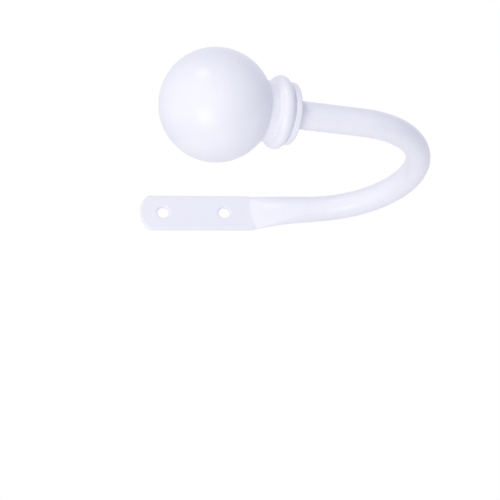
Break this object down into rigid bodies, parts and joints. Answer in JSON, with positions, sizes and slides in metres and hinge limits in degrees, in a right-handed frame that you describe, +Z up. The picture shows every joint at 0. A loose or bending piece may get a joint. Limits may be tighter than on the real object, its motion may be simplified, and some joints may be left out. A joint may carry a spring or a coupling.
{
  "type": "curtain holdback",
  "caption": "Hook-shaped curtain holdback: a bent tube with one end pressed flat and drilled for screws, and a ball finial on the other end.",
  "frame": {"origin": "on the wall, at the back of the strap, midway between the two screw holes", "axes": "+X along the strap towards the bend, +Y into the wall, +Z up; the hook reaches into the room along -Y"},
  "size_m": [0.1396, 0.1364, 0.0508],
  "materials": {
    "enamel": "gloss white enamel with a cool cast",
    "finial_enamel": "gloss white, as the hook",
    "zinc_steel": "bright zinc plate",
    "plug_steel": "bare turned steel"
  },
  "bodies": {
    "root": {"hook_arm": "enamel", "ball_finial": "finial_enamel", "finial_stud": "zinc_steel", "tube_end_plug": "plug_steel"}
  },
  "joints": []
}
